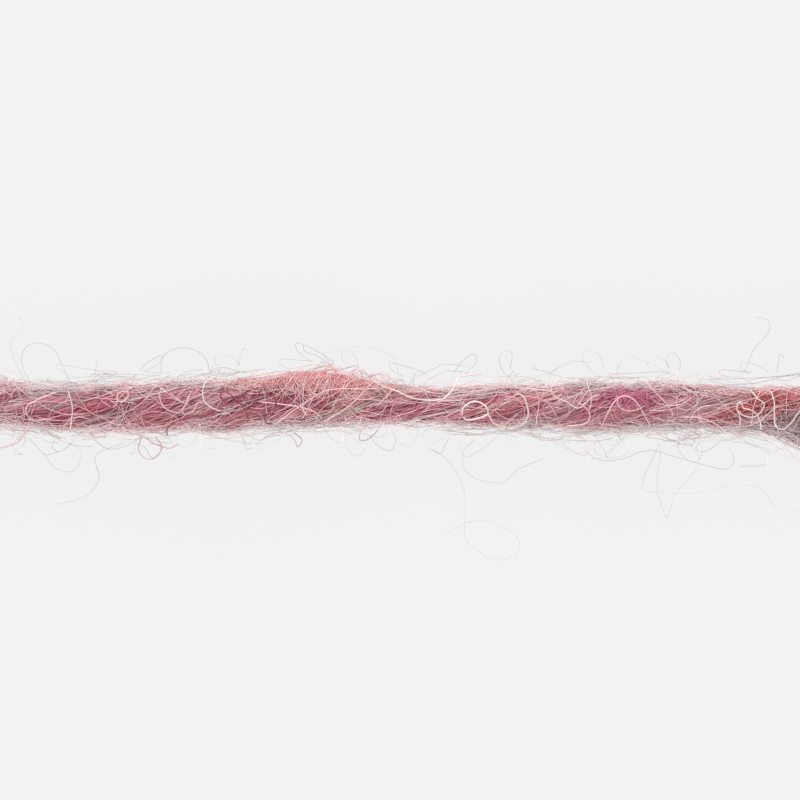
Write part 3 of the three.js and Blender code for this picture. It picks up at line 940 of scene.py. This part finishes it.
# Each loop's lot, its thickness in millimetres, and the points it passes over
LOOPS = [
    ("ivory", 0.050, [(1.93, -0.35), (2.08, -0.45), (2.4, -0.4), (2.71, -0.27), (2.68, -0.06), (2.4, 0.12),
        (2.13, 0.07), (1.95, -0.09), (1.93, -0.33)]),
    ("ivory", 0.050, [(2.6, -0.32), (2.71, -0.27), (2.91, -0.55), (3.33, -0.69), (3.75, -0.63),
        (3.96, -0.35), (3.93, 0.02), (3.8, 0.3), (3.59, 0.39)]),
    ("ivory", 0.044, [(-0.84, 0.74), (-0.42, 0.56), (-0.06, 0.43), (0.31, 0.25), (0.72, 0.17), (1.15, 0.17),
        (1.41, 0.25), (1.62, 0.48), (1.72, 0.64), (1.8, 0.86), (2.2, 0.95), (2.6, 0.98)]),
    ("shell", 0.038, [(-4.38, 0.12), (-3.75, 0.05), (-3.03, -0.06), (-2.66, -0.19), (-2.41, -0.39)]),
    ("shell", 0.038, [(-3.85, -0.55), (-3.34, -0.19), (-2.81, 0.17), (-2.29, 0.46), (-1.78, 0.52),
        (-1.04, 0.52), (-0.42, 0.56)]),
    ("shell", 0.038, [(-2.41, -0.51), (-1.88, -0.23), (-1.47, 0.08), (-1.16, 0.39), (-0.84, 0.74)]),
    ("shell", 0.038, [(-10.6, 0.45), (-11.25, 0.17), (-11.51, 0.02), (-11.59, -0.19), (-11.51, -0.39),
        (-11.31, -0.51)]),
    ("shell", 0.038, [(-10.31, 0.48), (-10.19, 0.17), (-10.13, -0.14), (-10.19, -0.55), (-10.26, -0.82)]),
    ("shell", 0.034, [(-8.5, 0.45), (-8.7, 0.39), (-8.75, 0.23), (-8.66, 0.12), (-8.5, 0.17), (-8.38, 0.36),
        (-8.5, 0.45), (-8.66, 0.45)]),
    ("shell", 0.038, [(-6.48, 0.39), (-6.62, 0.02), (-6.72, -0.19), (-6.62, -0.27), (-6.35, -0.14),
        (-6.25, 0.08), (-6.04, 0.08)]),
    ("ivory", 0.042, [(-5.62, 0.95), (-6.0, 0.74), (-6.09, 0.43), (-6.02, 0.12), (-5.78, -0.08),
        (-5.53, -0.17)]),
    ("shell", 0.034, [(-7.41, 0.55), (-7.42, 0.23), (-7.29, -0.04), (-7.03, -0.19), (-6.78, -0.22)]),
    ("maroon", 0.060, [(-5.28, 0.02), (-5.53, 0.28), (-5.47, 0.43), (-5.26, 0.36), (-5.06, 0.14),
        (-4.79, -0.02), (-4.48, -0.04)]),
    ("maroon", 0.060, [(-5.28, 0.02), (-5.06, 0.15), (-4.79, 0.39), (-4.53, 0.52), (-4.35, 0.43),
        (-4.38, 0.25), (-4.63, 0.14), (-4.81, -0.08), (-4.69, -0.39), (-4.75, -0.55)]),
    ("maroon", 0.052, [(-4.17, 0.3), (-3.91, 0.28), (-3.83, 0.08), (-3.91, -0.23), (-4.12, -0.3),
        (-4.14, -0.55), (-3.97, -0.55)]),
    ("maroon", 0.052, [(-7.29, -0.95), (-7.19, -0.7), (-6.98, -0.53), (-6.62, -0.39), (-6.25, -0.35),
        (-5.5, -0.2)]),
    ("ivory", 0.038, [(5.75, 0.84), (5.05, 0.86), (4.74, 0.64), (4.69, 0.43), (4.84, 0.25), (5.16, 0.12),
        (5.41, -0.06), (5.56, -0.06), (5.85, 0.2), (6.2, 0.36)]),
    ("shell", 0.038, [(5.5, 0.08), (5.62, 0.02), (5.83, -0.19), (5.86, -0.39), (5.72, -0.55), (5.1, -0.65)]),
    ("shell", 0.034, [(5.78, 0.95), (5.83, 0.55), (5.91, 0.23), (5.86, -0.14)]),
    ("shell", 0.038, [(6.25, -0.66), (6.41, -0.23), (6.66, 0.17), (6.93, 0.3), (7.19, 0.2), (7.4, -0.04),
        (7.55, -0.3), (7.81, -0.7)]),
    ("ivory", 0.044, [(10.52, -0.77), (10.52, -0.35), (10.41, -0.08), (10.47, 0.09), (10.56, 0.08),
        (10.62, -0.08), (10.78, -0.11), (10.99, -0.22), (11.15, -0.51), (11.25, -0.77)]),
    ("ivory", 0.044, [(10.88, 0.48), (11.03, 0.23), (11.25, 0.05), (11.15, -0.19), (10.94, -0.35),
        (10.62, -0.3), (10.47, -0.14)]),
    ("ivory", 0.044, [(11.5, 0.48), (11.56, 0.08), (11.56, -0.35), (11.66, -0.66), (11.88, -0.73),
        (12.12, -0.51), (12.34, -0.19), (12.7, 0.2)]),
    ("shell", 0.034, [(10.88, -0.7), (10.92, -0.1), (11.03, 0.23), (11.19, 0.45), (11.56, 0.52),
        (12.08, 0.45), (12.7, 0.2)]),
    ("shell", 0.034, [(4.1, 0.5), (4.22, 0.43), (4.3, 0.12), (4.24, -0.35), (4.22, -0.66)]),
    ("shell", 0.034, [(8.75, -0.35), (9.27, -0.38), (9.74, -0.55), (10.16, -0.82)]),
    ("shell", 0.038, [(7.65, 0.8), (7.75, 0.55), (8.02, 0.28), (8.33, -0.08), (8.45, -0.3)]),
    ("shell", 0.030, [(6.72, 0.28), (6.72, 0.02), (6.93, -0.14), (7.28, -0.14), (7.59, 0.02)]),
    ("mauve", 0.035, [(-0.53, -0.51), (-0.73, -0.82), (-1.04, -1.08), (-1.25, -1.08), (-1.25, -0.86),
        (-1.04, -0.61)]),
    ("violet", 0.030, [(-4.38, -1.13), (-4.06, -0.92), (-3.7, -0.84), (-3.34, -1.02), (-3.2, -1.29)]),
    ("violet", 0.030, [(-3.34, -0.82), (-3.07, -1.08), (-3.12, -1.23), (-3.23, -1.31)]),
    ("shell", 0.038, [(-12.5, -1.33), (-11.98, -1.17), (-11.72, -0.86), (-11.47, -0.51)]),
    ("mauve", 0.035, [(-8.06, -0.95), (-8.16, -1.39), (-7.97, -1.64), (-7.75, -1.67), (-7.5, -1.48),
        (-7.47, -1.2), (-7.66, -0.98)]),
    ("mauve", 0.030, [(-8.6, -0.8), (-8.06, -0.95), (-7.66, -1.2), (-7.2, -1.34), (-6.9, -1.2)]),
]
# How high a loop passes over the strand. The maroon ones pass over the others
LOOP_LIFT = 0.17
DARK_LOOP_LIFT = 0.21
# Share of a loop's length over which it comes up out of the strand, and how deep it starts
LOOP_RISE = 0.10
LOOP_ROOT = -0.06


def loop_pieces():
    """One piece for the loops of each lot."""
    along = np.linspace(0.0, 1.0, LOOP_POINTS)
    from_end = np.minimum(along, 1.0 - along)
    risen = np.minimum(from_end / LOOP_RISE, 1.0) ** RISE_POWER
    for name in ["ivory", "shell", "mauve", "violet", "maroon"]:
        top = DARK_LOOP_LIFT if name == "maroon" else LOOP_LIFT
        lift = LOOP_ROOT + (top - LOOP_ROOT) * risen
        lines = []
        thickness = []
        for lot, thick, points in LOOPS:
            if lot == name:
                seen = smooth_line(points, LOOP_POINTS)
                lines.append(over_strand(seen[:, 0], seen[:, 1], lift))
                thickness.append(thick)
        dye = np.linspace(0.1, 0.7, len(lines))
        fibre_piece(name + "_wool_loops", np.array(lines), np.array(thickness), dye, WOOLS[name])


loop_pieces()


# The halo: wrapper fibres and the strays rooted in them, where the solids have them

# How far the solid of a wrapper stands off the strand, and the lowest that its line runs
GAP = 0.32
WRAPPER_RADIUS = 0.07
WRAPPER_LOWEST = 0.05
STRAYS_PER_WRAPPER = 9
STRAY_POINTS = 32
WRAPPER_POINTS = 32
# A stray's least reach beyond its wrapper, how much more it may be, and its most lean along it
SHORTEST_REACH = 0.22
REACH_SPREAD = 0.42
MOST_LEAN = 0.8
# The share of hairs among the strays; the rest are loops
HAIR_SHARE = 0.35
# How far a loop swells, and how far apart its feet are as a share of its wrapper's length
LOOP_SWELL = 0.15
LOOP_FEET = 0.095
# How far up a stray the point is that rounds its rise, as a share of its reach
RISE_SHARE = 0.6

# The longest strays: height, whether the far end comes back, and the points beyond the roots
LONG_STRAYS = [
    (0.05, False, [(0.88, -1.33), (1.16, -1.48), (1.5, -1.7), (1.72, -2.02), (1.9, -2.33), (2.03, -2.73),
        (2.06, -3.42), (2.03, -4.05), (2.13, -4.33), (2.5, -4.6), (2.8, -4.83), (3.13, -4.89), (3.72, -4.67),
        (3.78, -4.36), (3.63, -4.05), (3.28, -3.89), (2.75, -3.64), (2.03, -3.73), (1.6, -3.98),
        (1.4, -4.1)]),
    (0.22, False, [(1.94, -1.4), (2.03, -2.0), (2.25, -2.23), (2.5, -2.36), (3.28, -2.42), (3.5, -2.2),
        (3.75, -2.0), (4.2, -1.8), (4.5, -1.67)]),
    (0.34, True, [(5.94, -1.55), (6.34, -1.73), (7.03, -1.67), (7.5, -1.48), (7.97, -1.42), (8.6, -1.6),
        (9.4, -1.83), (10.0, -1.98), (10.3, -2.0), (10.5, -1.77), (10.4, -1.39)]),
    (0.20, True, [(8.2, -1.55), (8.1, -2.17), (8.1, -2.73), (8.25, -3.2), (8.38, -3.58), (8.5, -3.27),
        (8.66, -2.8), (9.06, -2.33), (9.44, -1.8)]),
    (0.05, True, [(7.63, -2.64), (8.06, -2.73), (8.6, -2.77), (9.38, -2.77), (10.3, -2.55), (11.1, -2.52),
        (11.5, -2.73), (11.8, -3.2), (12.0, -3.33), (12.5, -3.33), (13.4, -3.0), (14.1, -1.6)]),
    (0.08, True, [(-11.25, -1.45), (-10.9, -1.95), (-10.3, -2.08), (-10.05, -1.5)]),
    (0.06, False, [(-9.6, -1.6), (-9.5, -2.35), (-9.9, -2.85), (-10.9, -3.15)]),
    (0.20, True, [(-8.05, -1.3), (-7.8, -1.66), (-7.45, -1.3)]),
    (0.90, True, [(-11.8, 1.5), (-11.55, 1.9), (-11.1, 1.92), (-10.75, 1.7), (-10.55, 1.3)]),
    (1.10, False, [(-12.1, 2.0), (-11.8, 2.2), (-11.72, 2.5), (-11.9, 2.8), (-12.6, 3.0)]),
    (0.80, True, [(-7.45, 1.05), (-7.45, 1.45), (-7.15, 1.72), (-6.75, 1.8), (-6.3, 1.68), (-6.02, 1.4),
        (-5.95, 1.05)]),
    (1.20, False, [(-2.2, 1.3), (-2.6, 1.55), (-2.95, 1.68), (-3.0, 1.88)]),
    (1.00, True, [(-2.1, 1.3), (-2.4, 1.6), (-1.65, 1.8), (-1.1, 1.84), (-0.6, 1.72), (-0.2, 1.5)]),
    (0.70, True, [(3.2, 1.1), (3.1, 1.42), (3.3, 1.73), (3.5, 1.6), (3.45, 1.17)]),
    (0.90, True, [(5.94, 1.1), (5.7, 1.42), (5.7, 1.64), (5.94, 1.72), (6.2, 1.58), (6.4, 1.1)]),
    (1.30, False, [(10.75, 1.2), (10.85, 1.5), (11.05, 1.86), (11.3, 2.1), (11.44, 2.36), (11.4, 2.65),
        (11.0, 2.72)]),
]


def wrapper_point(wrapper, share, off=0.0):
    """A point on a wrapper's line, from 0 at its front foot to 1 at its back one."""
    start = END_MARGIN - HALF_LENGTH + wrapper * WRAPPER_STAGGER
    turn = WRAPPER_START + (WRAPPER_END - WRAPPER_START) * share
    point = strand_point(start + WRAPPER_SPAN * share, turn, GAP + WRAPPER_RADIUS + off)
    point[..., 2] = np.maximum(point[..., 2], WRAPPER_LOWEST)
    return point


def short_stray(wrapper, index, rng):
    """A loop with both feet in the wrapper, or a hair with a free, curled end."""
    share = (index + 0.2 + 0.6 * rng.random()) / STRAYS_PER_WRAPPER
    reach = SHORTEST_REACH + REACH_SPREAD * rng.random()
    lean = (2 * rng.random() - 1) * MOST_LEAN
    foot = wrapper_point(wrapper, share)
    crown = wrapper_point(wrapper, share, reach) + (lean, 0, 0)
    rise = foot + (crown - foot) * RISE_SHARE
    if rng.random() < HAIR_SHARE:
        tip = wrapper_point(wrapper, share, reach * 0.8) + (lean * 2, 0, 0)
        return smooth_line([foot, rise, crown, tip], STRAY_POINTS)
    other_foot = wrapper_point(wrapper, min(share + LOOP_FEET, 1.0))
    fall = other_foot + (crown - other_foot) * RISE_SHARE
    rise = rise - (LOOP_SWELL, 0, 0)
    fall = fall + (LOOP_SWELL, 0, 0)
    return smooth_line([foot, rise, crown, fall, other_foot], STRAY_POINTS)


ROOT_PLACES = 64


def nearest_root(point):
    """The wrapper that passes nearest to a point, and its own nearest point."""
    shares = np.linspace(0.02, 0.98, ROOT_PLACES)
    rows = np.array([wrapper_point(w, shares) for w in range(WRAPPER_COUNT)])
    far = np.linalg.norm(rows - point, axis=2)
    wrapper, step = np.unravel_index(np.argmin(far), far.shape)
    return wrapper, rows[wrapper, step]


STRAY_THICKNESS = (0.012, 0.018)
WRAPPER_THICKNESS = 0.016
WRAPPER_FIBRES = 2
# How much nearer to the strand the wrapper fibres run than the line of their solid
WRAPPER_SINK = 0.15
stray_wool = dyed_wool("undyed_stray_wool", ["#dcdad9", "#adaaa8"], 0.0)
long_lines = {wrapper: [] for wrapper in range(WRAPPER_COUNT)}
for height, returns, seen in LONG_STRAYS:
    points = [np.array((x, y, height)) for x, y in seen]
    wrapper, root = nearest_root(points[0])
    line = [root, *points]
    if returns:
        line.append(nearest_root(points[-1])[1])
    long_lines[wrapper].append(smooth_line(line, STRAY_POINTS))

rng = np.random.default_rng(41)
for wrapper in range(WRAPPER_COUNT):
    shares = np.linspace(0, 1, WRAPPER_POINTS)
    lines = []
    for _ in range(WRAPPER_FIBRES):
        off = wander(rng, 1, WRAPPER_POINTS, 6.0, 0.12)[0] - WRAPPER_SINK
        line = wrapper_point(wrapper, shares, off)
        line[:, 0] += wander(rng, 1, WRAPPER_POINTS, 6.0, 0.45)[0]
        lines.append(line)
    for index in range(STRAYS_PER_WRAPPER):
        lines.append(short_stray(wrapper, index, rng))
    lines += long_lines[wrapper]
    lines = np.array(lines)
    thickness = rng.uniform(*STRAY_THICKNESS, len(lines))
    thickness[:WRAPPER_FIBRES] = WRAPPER_THICKNESS
    halo = fibre_piece(
        f"halo_fibres_{wrapper + 1}", lines, thickness, rng.random(len(lines)), stray_wool,
    )
    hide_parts(f"halo_{wrapper + 1}")
